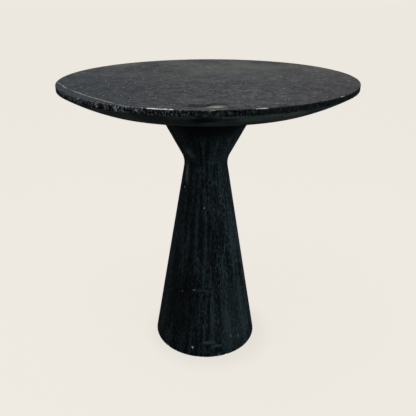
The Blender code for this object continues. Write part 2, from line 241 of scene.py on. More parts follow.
def make_tabletop():
    """The slab, with chips along both rims of its uneven band, and a shallow dent in its face."""
    columns = 1240
    rim = (TOP_RADIUS, TABLE_HEIGHT)
    band_low = (TOP_RADIUS, TABLE_HEIGHT - EDGE_BAND)
    plate_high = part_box("mounting_plate")[1]
    pocket = plate_high.x + POCKET_PLAY
    profile = tabletop_profile(rim, band_low, pocket, plate_high.z + FIT)
    small = nick_depth(columns, seed=5, count=150, half_width=(0.006, 0.018), depth=1.6 * MM)
    front_left = (math.radians(-158), math.radians(-112))
    large = nick_depth(columns, seed=8, count=44, half_width=(0.012, 0.036), depth=6.0 * MM,
                       spread=front_left)
    lower = nick_depth(columns, seed=6, count=80, half_width=(0.006, 0.016), depth=1.4 * MM)
    nicks = nicked(profile, rim, np.maximum(small, large)) + nicked(profile, band_low, lower)
    on_band = (profile[:, 0] > TOP_RADIUS - 0.1 * MM)[:, None]
    grind = 0.15 * MM * soft_noise(7, len(profile), columns, 1.5, 2.0) * on_band
    turn = TAU * np.arange(columns) / columns
    across = (profile[:, :1] * np.cos(turn) - DENT_MIDDLE[0]) / DENT_REACH[0]
    along = (profile[:, :1] * np.sin(turn) - DENT_MIDDLE[1]) / DENT_REACH[1]
    on_face = profile[:, 1:] > TABLE_HEIGHT - 0.01 * MM
    dish = np.maximum(0.0, 1 - across**2 - along**2) ** 2 * on_face
    outer = (profile[:, 0] > pocket + 5 * MM)[:, None]
    relief = np.minimum(0.0, -nicks - np.abs(grind) - DENT_DEPTH * dish) * outer
    piece = turned("stone_top", profile, columns, relief, ring=False)
    drill_insert_holes(piece)
    return piece


def drill_insert_holes(top):
    """Cuts the blind holes of the threaded inserts into the roof of the pocket."""
    below = 3 * MM
    for i in range(1, SCREW_COUNT + 1):
        low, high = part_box(f"threaded_insert_{i}")
        middle = (low + high) / 2
        radius = (high.x - low.x) / 2 + FIT
        tip, foot = high.z + FIT, low.z - below
        profile = np.array([(radius / 2, tip), (radius, tip), (radius, foot), (radius / 2, foot)])
        drill = turned("insert drill", profile, 48, ring=False, centre=(middle.x, middle.y))
        hole = top.modifiers.new("insert hole", "BOOLEAN")
        hole.object = drill
        hole.solver = "EXACT"
        bpy.context.view_layer.objects.active = top
        bpy.ops.object.modifier_apply(modifier=hole.name)
        bpy.data.objects.remove(drill, do_unlink=True)


def make_pedestal():
    """The turned column: a short flared head, a rounded waist and a long cone down to an eased foot."""
    columns = 480
    head, waist, foot = (HEAD_RADIUS, HEAD_FLAT), (WAIST_RADIUS, WAIST_HEIGHT), (FOOT_RADIUS, FOOT_FLAT)
    anchor_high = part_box("anchor_plate")[1]
    foot_socket, foot_roof = anchor_high.x + 3 * MM, anchor_high.z + FIT
    washer_low, washer_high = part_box("head_washer")
    head_socket, head_floor = washer_high.x + 4 * MM, washer_low.z - FIT
    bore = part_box("upper_bush")[1].x + FIT
    head_edge = fillet((head_socket, HEAD_FLAT), head, waist, HEAD_ARRIS, 5)
    waist_arc = fillet(head, waist, foot, WAIST_ROUNDING, 22)
    foot_edge = fillet(waist, foot, (foot_socket, FOOT_FLAT), FOOT_ROUNDING, 9)
    profile = np.concatenate([
        head_edge,
        line(head_edge[-1], waist_arc[0], 34)[1:],
        waist_arc,
        line(waist_arc[-1], foot_edge[0], 96)[1:],
        foot_edge,
        line(foot_edge[-1], (foot_socket, FOOT_FLAT), 4)[1:],
        line((foot_socket, FOOT_FLAT), (foot_socket, foot_roof), 2),
        line((foot_socket, foot_roof), (bore, foot_roof), 2),
        line((bore, foot_roof), (bore, head_floor), 4),
        line((bore, head_floor), (head_socket, head_floor), 2),
        line((head_socket, head_floor), (head_socket, HEAD_FLAT), 2),
        line((head_socket, HEAD_FLAT), head_edge[0], 3),
    ])
    rows = len(profile)
    outside = (profile[:, 0] > head_socket + 4 * MM) & (profile[:, 1] > FOOT_FLAT + 0.1 * MM)
    outside &= profile[:, 1] < HEAD_FLAT - 0.1 * MM
    grain = 0.10 * MM * soft_noise(11, rows, columns, 7.0, 1.2)
    swell = 0.15 * MM * soft_noise(12, rows, columns, 16.0, 24.0)
    foot_rim = (FOOT_RADIUS - FOOT_ROUNDING / 3, FOOT_FLAT + FOOT_ROUNDING / 3)
    nick = nick_depth(columns, seed=13, count=36, half_width=(0.015, 0.040), depth=3.0 * MM)
    nicks = nicked(profile, foot_rim, nick)
    relief = np.minimum(0.0, grain + swell - 0.1 * MM - nicks) * outside[:, None]
    return turned("stone_pedestal", profile, columns, relief)


# ---------------- the hardware

def climb(height, columns, pitch):
    """How far each height and column is above a helix of that pitch, as a share of the pitch."""
    return (np.asarray(height)[:, None] / pitch - np.arange(columns) / columns) % 1.0


def thread(height, columns, crest, depth):
    """Radius of the tie rod's thread: the crest less a rounded V that climbs one pitch in each turn."""
    return crest - depth * (1 - np.abs(2 * climb(height, columns, PITCH) - 1)) ** 0.8


def middle_and_radius(low, high):
    """The middle of a small round piece, seen from above, and its radius."""
    return ((low.x + high.x) / 2, (low.y + high.y) / 2), (high.x - low.x) / 2


def threaded_bore(low, high, columns):
    """Heights and radii of a threaded hole for the tie rod, from its lower end to its upper one."""
    height = np.append(np.arange(low, high, PITCH / 8), high)
    radius = thread(height, columns, ROD_BORE + 0.5 * MM, 0.5 * MM)
    radius[0] = radius[-1] = ROD_BORE + 0.7 * MM
    return height, radius


def eased(corners, easing):
    """A closed outline through corners that run down the outer side, each one rounded."""
    ends = range(len(corners))
    arcs = [fillet(corners[i - 1], corners[i], corners[(i + 1) % len(corners)], easing, 4) for i in ends]
    return np.concatenate(arcs)


def make_ring(node, easing):
    """A washer, bush or plate around the tie rod, with every edge eased."""
    low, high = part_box(node)
    corners = [(high.x, high.z), (high.x, low.z), (ROD_BORE, low.z), (ROD_BORE, high.z)]
    return turned(node + "_turned", eased(corners, easing), 144)


def make_disc_spring():
    """A dished spring washer: its section is a slanted strip that stands higher at the rim."""
    low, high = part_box("disc_spring")
    thick = 1.6 * MM
    corners = [(high.x, high.z), (high.x, high.z - thick), (ROD_BORE, low.z), (ROD_BORE, low.z + thick)]
    return turned("disc_spring_dished", eased(corners, 0.3 * MM), 144)


def make_hub():
    """The boss that runs on the tie rod: a plain round outside with eased rims, and a threaded bore."""
    low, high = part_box("plate_hub")
    columns = 96
    corners = [(ROD_BORE, high.z), (high.x, high.z), (high.x, low.z), (ROD_BORE, low.z)]
    outer = np.concatenate([fillet(*corners[:3], 1.0 * MM, 5), fillet(*corners[1:], 1.0 * MM, 5)])
    inner_height, inner = threaded_bore(low.z, high.z, columns)
    radius = np.concatenate([np.broadcast_to(outer[:, :1], (len(outer), columns)), inner])
    height = np.concatenate([outer[:, 1], inner_height])
    return skin("plate_hub_threaded", radius, height[:, None])


def make_tie_rod():
    """A round rod whose thread is cut at both ends and fades into the plain middle."""
    low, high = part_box("tie_rod")
    radius, ease = high.x, 1.2 * MM
    head_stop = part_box("head_washer")[0].z - 10 * MM
    foot_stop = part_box("anchor_plate")[1].z + 6 * MM
    heights = np.concatenate([
        [high.z - 0.02 * MM],
        np.arange(high.z - ease, head_stop, -PITCH / 9),
        np.linspace(head_stop, foot_stop, 24),
        np.arange(foot_stop - PITCH / 9, low.z + ease, -PITCH / 9),
        [low.z + 0.02 * MM],
    ])
    cut = np.clip((heights - head_stop) / (3 * MM), 0, 1) + np.clip((foot_stop - heights) / (3 * MM), 0, 1)
    columns = 48
    surface = radius - cut[:, None] * (radius - thread(heights, columns, radius, 1.1 * MM))
    surface[0] = surface[-1] = radius - ease
    return skin("threaded_rod", surface, heights[:, None], ring=False)


def hexagon(columns, across):
    """Radius of a hexagon of that size across its flats, for each column."""
    side = TAU / 6
    turn = TAU * np.arange(columns) / columns
    from_flat = (turn + side / 2) % side - side / 2
    return across / 2 / np.cos(from_flat)


def make_nut(node):
    """A hexagonal nut: the hexagon is cut by a cone at both ends, and the bore carries a thread."""
    low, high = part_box(node)
    columns, end = 72, 2.2 * MM
    across = min(high.x - low.x, high.y - low.y)
    flats = np.roll(hexagon(columns, across), 0 if high.y - low.y < high.x - low.x else columns // 12)
    outer_z = np.concatenate([np.linspace(high.z, high.z - end, 9), np.linspace(low.z + end, low.z, 9)])
    from_end = np.minimum(high.z - outer_z, outer_z - low.z)[:, None]
    cone = across / 2 - 0.3 * MM + from_end * math.tan(math.radians(60))
    outer = np.minimum(flats, cone)
    inner_z, inner = threaded_bore(low.z, high.z, columns)
    return skin(node + "_hex", np.concatenate([outer, inner]), np.concatenate([outer_z, inner_z])[:, None])


def make_screw(node):
    """A countersunk screw, head down: a threaded shank, a conical head and a hexagonal socket in it."""
    low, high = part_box(node)
    centre, head = middle_and_radius(low, high)
    shank, columns, head_edge = 3 * MM, 24, 0.4 * MM
    cone_top = low.z + head_edge + head - shank
    shank_z = np.arange(high.z - 0.8 * MM, cone_top + 0.5 * MM, -SCREW_PITCH / 6)
    shank_radius = shank - 0.35 * MM * (1 - np.abs(2 * climb(shank_z, columns, SCREW_PITCH) - 1))
    socket = hexagon(columns, 4 * MM)
    plain = np.ones(columns)
    radius = np.concatenate([
        [plain * shank * 0.5, plain * (shank - 0.6 * MM)],
        shank_radius,
        [plain * shank, plain * head, plain * (head - 0.1 * MM)],
        [socket + 0.3 * MM, socket, socket, socket * 0.3],
    ])
    tail = [cone_top, low.z + head_edge, low.z, low.z, low.z + 0.3 * MM, low.z + 2.2 * MM, low.z + 2.5 * MM]
    height = np.concatenate([[high.z, high.z - 0.2 * MM], shank_z, tail])
    return skin(node + "_socket_head", radius, height[:, None], centre=centre, ring=False)


def make_insert(node):
    """A brass insert: two knurled bands round a plain neck, and a threaded bore."""
    low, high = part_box(node)
    centre, outer = middle_and_radius(low, high)
    columns, knurls = 72, 24
    turn = TAU * np.arange(columns) / columns
    outer_z = np.linspace(high.z, low.z, 25)
    share = (outer_z - low.z) / (high.z - low.z)
    band = (np.abs(share - 0.25) < 0.17) | (np.abs(share - 0.75) < 0.17)
    teeth = 0.25 * MM * (0.5 + 0.5 * np.cos(knurls * turn))
    surface = np.where(band[:, None], outer - teeth, outer - 0.6 * MM)
    inner_z = np.arange(low.z, high.z + 1e-6, (high.z - low.z) / 84)
    inner = 3.3 * MM + 0.3 * MM * (1 - np.abs(2 * climb(inner_z, columns, SCREW_PITCH) - 1))
    radius = np.concatenate([surface, inner])
    height = np.concatenate([outer_z, inner_z])
    return skin(node + "_knurled", radius, height[:, None], centre=centre)


def make_soft_ring(name, node, inner, seed, sink):
    """A flat ring cut from sheet: rounded edges, and a surface that sinks in by a small random amount."""
    low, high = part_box(node)
    outer, half, columns = high.x, (high.z - low.z) / 2, 360
    middle = (low.z + high.z) / 2
    angle = np.linspace(math.pi / 2, -math.pi / 2, 9)
    outer_edge = np.stack([outer - half + half * np.cos(angle), middle + half * np.sin(angle)], axis=1)
    inner_edge = np.stack([inner + half - half * np.cos(angle), middle - half * np.sin(angle)], axis=1)
    profile = np.concatenate([
        outer_edge,
        line(outer_edge[-1], inner_edge[0], 14)[1:],
        inner_edge,
        line(inner_edge[-1], outer_edge[0], 14)[1:],
    ])
    relief = -sink * np.abs(soft_noise(seed, len(profile), columns, 0.8, 0.8))
    return turned(name, profile, columns, relief)


# ---------------- shader nodes

class Wires:
    """Adds shader nodes to one tree. Each method gives the output of the node that it adds."""

    def __init__(self, tree):
        self.tree = tree

    def add(self, kind, output, inputs, **settings):
        """One node: its settings, then its inputs by name or number, each a plain value or another output."""
        node = self.tree.nodes.new("ShaderNode" + kind)
        for name, value in settings.items():
            setattr(node, name, value)
        for place, value in inputs.items():
            if isinstance(value, bpy.types.NodeSocket):
                self.tree.links.new(value, node.inputs[place])
            else:
                node.inputs[place].default_value = value
        return node.outputs[output]

    def math(self, operation, *values):
        """A sum, product or other operation on one to three numbers."""
        return self.add("Math", 0, dict(enumerate(values)), operation=operation)

    def times(self, product, *more):
        """The product of one or more numbers."""
        for value in more:
            product = self.math("MULTIPLY", product, value)
        return product

    def vector(self, operation, *values, output=0):
        """A sum, product or other operation on vectors."""
        return self.add("VectorMath", output, dict(enumerate(values)), operation=operation)

    def fade(self, value, low, high, to_low=0.0, to_high=1.0):
        """Takes low..high smoothly to to_low..to_high, and holds the end values outside."""
        inputs = {"Value": value, "From Min": low, "From Max": high, "To Min": to_low, "To Max": to_high}
        return self.add("MapRange", 0, inputs, interpolation_type="SMOOTHSTEP")

    def blend(self, share, first, second):
        """Mixes two numbers."""
        return self.add("Mix", 0, {0: share, 2: first, 3: second})

    def tint(self, share, first, second):
        """Mixes two colours."""
        return self.add("Mix", 2, {0: share, 6: first, 7: second}, data_type="RGBA")

    def lay(self, colour, tone, *masks):
        """Lays a tone over a colour, as strongly as the product of the masks."""
        return self.tint(self.times(*masks), colour, tone)

    def place(self, position, scale=(1, 1, 1), turn=(0, 0, 0), shift=(0, 0, 0)):
        """Stretches, turns and moves a pattern on a piece."""
        inputs = {"Vector": position, "Scale": scale, "Rotation": turn, "Location": shift}
        return self.add("Mapping", 0, inputs)

    def noise(self, position, scale, detail=2.0, roughness=0.5):
        """Cloudy noise between about 0.25 and 0.75."""
        inputs = {"Vector": position, "Scale": scale, "Detail": detail, "Roughness": roughness}
        return self.add("TexNoise", 0, inputs)

    def cells(self, position, scale):
        """Random cells: the distance to the nearest cell's middle, and that cell's own random number."""
        spread = self.add("TexVoronoi", "Distance", {"Vector": position, "Scale": scale})
        own = self.add("SeparateColor", 0, {0: spread.node.outputs["Color"]})
        return spread, own

    def parts(self, position):
        """The x, y and z of a position."""
        spread = self.add("SeparateXYZ", 0, {0: position})
        return list(spread.node.outputs)

    def from_axis(self, x, y):
        """Distance from the vertical axis."""
        return self.math("SQRT", self.math("ADD", self.times(x, x), self.times(y, y)))

    def bump(self, height, distance, strength):
        """A normal bent by a height map. The distance is the height of 1 in metres."""
        return self.add("Bump", 0, {"Height": height, "Distance": distance, "Strength": strength})

    def use(self, group, output, **inputs):
        """Places a node group with its own values."""
        named = {name.replace("_", " "): value for name, value in inputs.items()}
        return self.add("Group", output, named, node_tree=group)


def new_group(name, inputs, outputs):
    """An empty node group, whose inputs are numbers, or vectors where they are None, and outputs numbers.

    Gives its wires, its input sockets and its exit.
    """
    tree = bpy.data.node_groups.new(name, "ShaderNodeTree")
    for label, value in inputs.items():
        kind = "NodeSocketVector" if value is None else "NodeSocketFloat"
        socket = tree.interface.new_socket(name=label, in_out="INPUT", socket_type=kind)
        if value is not None:
            socket.default_value = value
    for label in outputs:
        tree.interface.new_socket(name=label, in_out="OUTPUT", socket_type="NodeSocketFloat")
    entry = tree.nodes.new("NodeGroupInput")
    leave = tree.nodes.new("NodeGroupOutput")
    return Wires(tree), entry.outputs, leave.inputs


def send(wires, leave, **outputs):
    """Links each named output of a group."""
    for name, value in outputs.items():
        wires.tree.links.new(value, leave[name.replace("_", " ")])


def stone_grain_group():
    """Crystalline stone: fine grain, broad clouds and short dark dashes, all on one stretched position."""
    inputs = {"Position": None, "Fineness": 200.0, "Cloud Scale": 14.0}
    wires, entry, leave = new_group("stone grain", inputs, ["Grain", "Cloud", "Dashes"])
    position, fineness = entry["Position"], entry["Fineness"]
    fine = wires.noise(position, fineness, 4.0, 0.65)
    coarse = wires.noise(position, wires.times(fineness, 0.35), 3.0, 0.6)
    both = wires.math("ADD", wires.times(fine, 0.6), wires.times(coarse, 0.4))
    cloud = wires.noise(position, entry["Cloud Scale"], 3.0, 0.55)
    elsewhere = wires.place(position, shift=(3.1, 1.7, 0.4))
    dark = wires.noise(elsewhere, wires.times(fineness, 0.5), 2.0, 0.5)
    send(
        wires, leave,
        Grain=wires.fade(both, 0.36, 0.66),
        Cloud=wires.fade(cloud, 0.34, 0.66),
        Dashes=wires.fade(dark, 0.60, 0.70),
    )
    return wires.tree


def flecks_group():
    """Scattered soft dots: cells whose own random number is under the share show a dot at their middle."""
    inputs = {"Position": None, "Scale": 100.0, "Share": 0.1, "Radius": 0.4}
    wires, entry, leave = new_group("flecks", inputs, ["Mask"])
    warp = wires.noise(entry["Position"], wires.times(entry["Scale"], 2.0), 1.0)
    spread, own = wires.cells(entry["Position"], entry["Scale"])
    ragged = wires.math("ADD", spread, wires.times(wires.math("SUBTRACT", warp, 0.5), 0.5))
    dot = wires.fade(ragged, entry["Radius"], wires.times(entry["Radius"], 0.5))
    chosen = wires.math("LESS_THAN", own, entry["Share"])
    send(wires, leave, Mask=wires.times(dot, chosen))
    return wires.tree


def turned_finish_group():
    """Marks of a lathe or a lap: rings about the vertical axis through the middle, and patches of wear."""
    inputs = {"Position": None, "Rings": 900.0, "Wear Scale": 60.0}
    wires, entry, leave = new_group("turned finish", inputs, ["Height", "Wear"])
    x, y, z = wires.parts(entry["Position"])
    along = wires.math("ADD", wires.from_axis(x, y), wires.times(z, 0.73))
    rings = wires.noise(wires.add("CombineXYZ", 0, {0: along}), entry["Rings"], 3.0, 0.6)
    wear = wires.noise(entry["Position"], entry["Wear Scale"], 4.0, 0.6)
    send(wires, leave, Height=rings, Wear=wires.fade(wear, 0.35, 0.65))
    return wires.tree


def fibres_group():
    """Matted or granular soft stuff: two crossed stretched noises and a broad unevenness."""
    inputs = {"Position": None, "Scale": 900.0, "Stretch": 0.15}
    wires, entry, leave = new_group("fibres", inputs, ["Shade", "Height"])
    position, scale, stretch = (entry[name] for name in inputs)
    along = wires.vector("MULTIPLY", position, wires.add("CombineXYZ", 0, {0: 1.0, 1: stretch, 2: 1.0}))
    across = wires.vector("MULTIPLY", position, wires.add("CombineXYZ", 0, {0: stretch, 1: 1.0, 2: 1.0}))
    crossed = wires.math("MAXIMUM", wires.noise(along, scale), wires.noise(across, scale))
    broad = wires.noise(position, wires.times(scale, 0.06), 3.0)
    shade = wires.math("ADD", wires.times(crossed, 0.7), wires.times(broad, 0.3))
    send(wires, leave, Shade=wires.fade(shade, 0.42, 0.68), Height=crossed)
    return wires.tree


def spot_group():
    """One ragged mark: full inside its middle, fading out at its size, with a rim that noise roughens."""
    inputs = {"Position": None, "Centre": None, "Size": None, "Ragged": 0.6, "Noise Scale": 300.0}
    wires, entry, leave = new_group("spot", inputs, ["Mask"])
    away = wires.vector("SUBTRACT", entry["Position"], entry["Centre"])
    length = wires.vector("LENGTH", wires.vector("DIVIDE", away, entry["Size"]), output="Value")
    rough = wires.math("SUBTRACT", wires.noise(entry["Position"], entry["Noise Scale"], 3.0, 0.6), 0.5)
    ragged = wires.math("MULTIPLY_ADD", rough, wires.times(entry["Ragged"], 4.0), length)
    send(wires, leave, Mask=wires.fade(ragged, 1.0, 0.5))
    return wires.tree


STONE_GRAIN = stone_grain_group()
SPOT = spot_group()
FLECKS = flecks_group()
TURNED_FINISH = turned_finish_group()
FIBRES = fibres_group()


def new_material(name, **constants):
    """A material whose Principled shader has these constants. Gives it, its wires, position and shader."""
    material = bpy.data.materials.new(name)
    material.use_nodes = True
    wires = Wires(material.node_tree)
    shader = material.node_tree.nodes["Principled BSDF"]
    for label, value in constants.items():
        shader.inputs[label.replace("_", " ")].default_value = value
    position = wires.add("TexCoord", "Object", {})
    return material, wires, position, shader


def dress(wires, shader, **sockets):
    """Links colours, roughness and normals to the shader's sockets."""
    for name, value in sockets.items():
        wires.tree.links.new(value, shader.inputs[name.replace("_", " ")])


# ---------------- finishes of the stones

# A pale vein curves across the left of the top: the middle and the radius of its arc
VEIN_CENTRE = (0.462, 0.323)
VEIN_RADIUS = 0.887

# Stretches of the upper edge painted pale as glints, with smaller ones round the rest of the rim: start and
# end in degrees round the axis, and strength
EDGE_GLINTS_PAINTED = (
    (-112.3, -111.2, 0.7), (-109.8, -101.8, 1.0), (-91.0, -89.6, 0.3), (-77.6, -74.0, 0.6),
    (-44.0, -41.5, 0.3), (36.0, 41.0, 0.5), (117.0, 123.0, 0.5), (168.0, 171.5, 0.4),
)

# Tones of the pedestal's marks; LIT is painted light
BLACK = (0.0004, 0.0009, 0.0010, 1)
WHITE = (0.55, 0.58, 0.58, 1)
WORN = (0.110, 0.130, 0.138, 1)
PALE_WORN = (0.22, 0.25, 0.26, 1)
RUBBED = (0.050, 0.074, 0.082, 1)
LIT = (0.050, 0.076, 0.084, 1)

# Marks on the pedestal: azimuth in degrees, height in metres, size in mm, tone, strength and raggedness
PEDESTAL_MARKS = (
    (-122, 0.15, (60, 60, 125), BLACK, 0.6, 0.25),
    # Painted shade: the head is darkened under the overhang of the top
    (-80, 0.65, (150, 150, 74), BLACK, 0.94, 0.15),
    # Painted light: a lighter patch low on the right side
    (-46, 0.11, (74, 64, 130), LIT, 0.13, 0.2),
    (-85, 0.02, (170, 150, 90), BLACK, 0.24, 0.15),
    (-149, 0.4559, (2.6, 2.6, 2.6), WHITE, 0.9, 0.2),
    (-95, 0.4129, (2.4, 2.4, 3), WHITE, 0.4, 0.3),
    (-108, 0.1949, (4, 3, 2), WHITE, 0.35, 0.4),
    (-125, 0.1837, (2.5, 2.5, 2), WHITE, 0.35, 0.3),
    (-106, 0.0317, (3.4, 3.4, 4), WHITE, 0.9, 0.2),
    (-60, 0.056, (2, 2, 9), WORN, 0.9, 0.4),
    (-49, 0.0456, (2, 2, 8), WORN, 0.8, 0.4),
    (-76, 0.008, (6, 4, 5), WORN, 0.9, 0.5),
    (-88, 0.048, (20, 12, 6), RUBBED, 0.6, 0.6),
    (-78, 0.037, (18, 12, 5), RUBBED, 0.55, 0.6),
    (-93, 0.1945, (28, 12, 1.6), WORN, 0.22, 0.7),
    (-128, 0.55, (14, 12, 24), WORN, 0.6, 1.2),
    (-148, 0.496, (6, 6, 26), PALE_WORN, 0.55, 1.2),
    (-144, 0.48, (3, 4, 30), WORN, 0.9, 0.9),
)


def stone_grain(wires, position, fineness, cloud_scale):
    """The grain, the clouds and the dashes of a stone."""
    inputs = {"Position": position, "Fineness": fineness, "Cloud_Scale": cloud_scale}
    node = wires.use(STONE_GRAIN, "Grain", **inputs).node
    return [node.outputs[name] for name in ("Grain", "Cloud", "Dashes")]


def with_spots(wires, position, colour, spots):
    """Lays ragged marks over a colour. Each is (centre, size, colour, strength, raggedness)."""
    for centre, size, tone, strength, ragged in spots:
        mask = wires.use(SPOT, "Mask", Position=position, Centre=centre, Size=size, Ragged=ragged)
        colour = wires.lay(colour, tone, mask, strength)
    return colour


def on_cone(azimuth, height):
    """A point of the pedestal's side."""
    below = (WAIST_RADIUS - FOOT_RADIUS) / (WAIST_HEIGHT - FOOT_FLAT)
    above = (HEAD_RADIUS - WAIST_RADIUS) / HEAD_DROP
    radius = WAIST_RADIUS + (height - WAIST_HEIGHT) * (above if height > WAIST_HEIGHT else below)
    turn = math.radians(azimuth)
    return (radius * math.cos(turn), radius * math.sin(turn), height)


def with_vein(wires, position, colour):
    """The pale vein, an arc that wanders and is broken here and there, with darker stone beyond it."""
    from_centre = wires.place(position, shift=(-VEIN_CENTRE[0], -VEIN_CENTRE[1], 0))
    distance = wires.vector("LENGTH", wires.vector("MULTIPLY", from_centre, (1, 1, 0)), output="Value")
    wander = wires.times(wires.math("SUBTRACT", wires.noise(position, 14.0, 3.0), 0.5), 10 * MM)
    across = wires.math("SUBTRACT", wires.math("ADD", distance, wander), VEIN_RADIUS)
    beyond = wires.fade(across, -1 * MM, 4 * MM)
    colour = wires.lay(colour, (0.016, 0.026, 0.034, 1), beyond, 0.55)
    near = wires.fade(wires.math("ABSOLUTE", across), 3.0 * MM, 0.8 * MM)
    broken = wires.fade(wires.noise(position, 40.0, 3.0), 0.36, 0.60)
    return wires.lay(colour, (0.30, 0.30, 0.255, 1), near, broken, 0.75)


def honed_face(wires, position, x, y):
    """The flat top: speckle and wisps, tan and pale flecks, the vein, and a pale patch before a dent with
    painted shade.

    Gives its colour, its roughness and its relief.
    """
    streaked = wires.place(position, (0.80, 0.62, 1.0), (0, 0, 0.30))
    grain, cloud, wisps = stone_grain(wires, streaked, 150.0, 11.0)
    left = wires.fade(x, 0.10, -0.30)
    right = wires.fade(x, 0.02, 0.32)
    back = wires.fade(y, -0.15, 0.30)
    slanted = wires.place(position, (0.50, 1.0, 1), (0, 0, 0.35))
    tan = wires.use(FLECKS, "Mask", Position=slanted, Scale=170.0, Share=0.16, Radius=0.26)
    drawn_out = wires.place(position, (1.0, 0.45, 1.0), (0, 0, 0.12), (5, 2, 0))
    pale = wires.use(FLECKS, "Mask", Position=drawn_out, Scale=170.0, Share=0.085, Radius=0.23)
    colour = wires.tint(grain, (0.004, 0.006, 0.009, 1), (0.085, 0.088, 0.086, 1))
    # These tints, bluer and darker to the left, violet to the right and olive at the back, are partly the
    # stone's own tone and partly painted reflection of the room
    colour = wires.lay(colour, (0.010, 0.015, 0.025, 1), left, 0.60)
    colour = wires.lay(colour, (0.034, 0.026, 0.032, 1), right, 0.35)
    colour = wires.lay(colour, (0.120, 0.122, 0.095, 1), wisps, 0.60)
    colour = wires.lay(colour, (0.120, 0.124, 0.098, 1), cloud, back, 0.62)
    colour = wires.lay(colour, (0.26, 0.23, 0.14, 1), tan, 0.60)
    colour = wires.lay(colour, (0.42, 0.44, 0.41, 1), pale, 0.75)
    colour = with_vein(wires, position, colour)
    colour = with_spots(wires, position, colour, [
        ((0.003, -0.325, TABLE_HEIGHT), (0.021, 0.013, 0.01), (0.270, 0.262, 0.215, 1), 0.80, 0.45),
    ])
    dent_mask_and_shade = wires.math("MAXIMUM", *(
        wires.use(SPOT, "Mask", Position=position, Centre=(*middle, TABLE_HEIGHT), Size=size, Ragged=0.30)
        for middle, size in ((DENT_MIDDLE, (0.034, 0.019, 0.01)), ((0.012, -0.301), (0.036, 0.008, 0.01)))
    ))
    # Painted shade: the dent and a thin line beside it are painted dark, and are also made rougher
    colour = wires.lay(colour, (0.004, 0.006, 0.006, 1), dent_mask_and_shade, 0.8)

    smear = wires.noise(wires.place(position, (0.5, 1, 1), (0, 0, -0.4)), 9.0, 5.0, 0.6)
    rough = wires.math("ADD", wires.fade(smear, 0.35, 0.65, 0.38, 0.50), wires.times(grain, 0.08))
    rough = wires.blend(dent_mask_and_shade, wires.math("MULTIPLY_ADD", left, 0.07, rough), 0.85)
    return colour, rough, wires.math("MULTIPLY_ADD", grain, 0.8, wisps)


def polished_band(wires, mottled, x, y):
    """The upright edge: nearly black, with pale crystal patches, most of them at the front left, where
    painted glints of a light from that side are laid in with them.

    Gives its colour, its roughness, and its crystal mask with the painted glints.
    """
    grain, cloud = stone_grain(wires, mottled, 260.0, 24.0)[:2]
    patches = wires.fade(wires.noise(mottled, 62.0, 2.0, 0.5), 0.38, 0.60, 0.30, 1.0)
    # Painted reflection: the pale mottling is strongest at the front left, where the band glints in a light
    # from that side
    front_left = wires.times(wires.fade(y, -0.02, -0.24), wires.fade(x, 0.12, -0.12),
                             wires.fade(x, -0.32, -0.19, 0.12, 1.0))
    crystals_and_glints = wires.times(wires.fade(wires.noise(mottled, 270.0, 3.0, 0.7), 0.51, 0.64), patches,
                           wires.math("MULTIPLY_ADD", front_left, 0.95, 0.05))
    colour = wires.tint(grain, (0.0004, 0.001, 0.001, 1), (0.010, 0.014, 0.015, 1))
    colour = wires.lay(colour, (0.240, 0.268, 0.284, 1), crystals_and_glints)
    return colour, wires.fade(cloud, 0, 1, 0.18, 0.34), crystals_and_glints


def smooth_bevel(wires, position, mottled):
    """The sloping underside: green clouds, dark dashes, and two black marks at the front that are partly
    painted shade. Gives its colour and roughness.
    """
    grain, cloud, dashes = stone_grain(wires, mottled, 120.0, 14.0)
    colour = wires.tint(cloud, (0.012, 0.022, 0.021, 1), (0.066, 0.100, 0.092, 1))
    colour = wires.lay(colour, (0.001, 0.002, 0.002, 1), dashes, 0.8)
    # The two black marks are partly darker stone and partly painted shade, where the bevel mirrors the
    # pedestal and the shade under the table
    black = (0.0008, 0.0012, 0.0012, 1)
    colour = with_spots(wires, position, colour, [
        ((-0.018, -0.322, UNDERSIDE + 24 * MM), (0.042, 0.030, 0.011), black, 0.85, 0.55),
        ((0.030, -0.326, UNDERSIDE + 27 * MM), (0.022, 0.020, 0.007), black, 0.70, 0.60),
    ])
    return colour, wires.fade(grain, 0, 1, 0.42, 0.55)


def painted_edge_glints(wires, position, x, y, z, out):
    """Painted highlights: ragged stretches of the upper arris painted pale where it glints."""
    azimuth = wires.math("ARCTAN2", y, x)
    glint_share, soft = 0.0, 0.4
    for start, end, strength in EDGE_GLINTS_PAINTED:
        rise = wires.fade(azimuth, math.radians(start - soft), math.radians(start + soft), 0.0, strength)
        fall = wires.fade(azimuth, math.radians(end + soft), math.radians(end - soft))
        glint_share = wires.math("MAXIMUM", glint_share, wires.times(rise, fall))
    ragged = wires.fade(wires.noise(position, 160.0, 4.0, 0.7), 0.38, 0.50, 0.25, 1.0)
    high = wires.fade(z, TABLE_HEIGHT - 1.7 * MM, TABLE_HEIGHT - 1.0 * MM)
    far = wires.fade(out, TOP_RADIUS - 2.2 * MM, TOP_RADIUS - 1.2 * MM)
    return wires.times(glint_share, ragged, high, far)


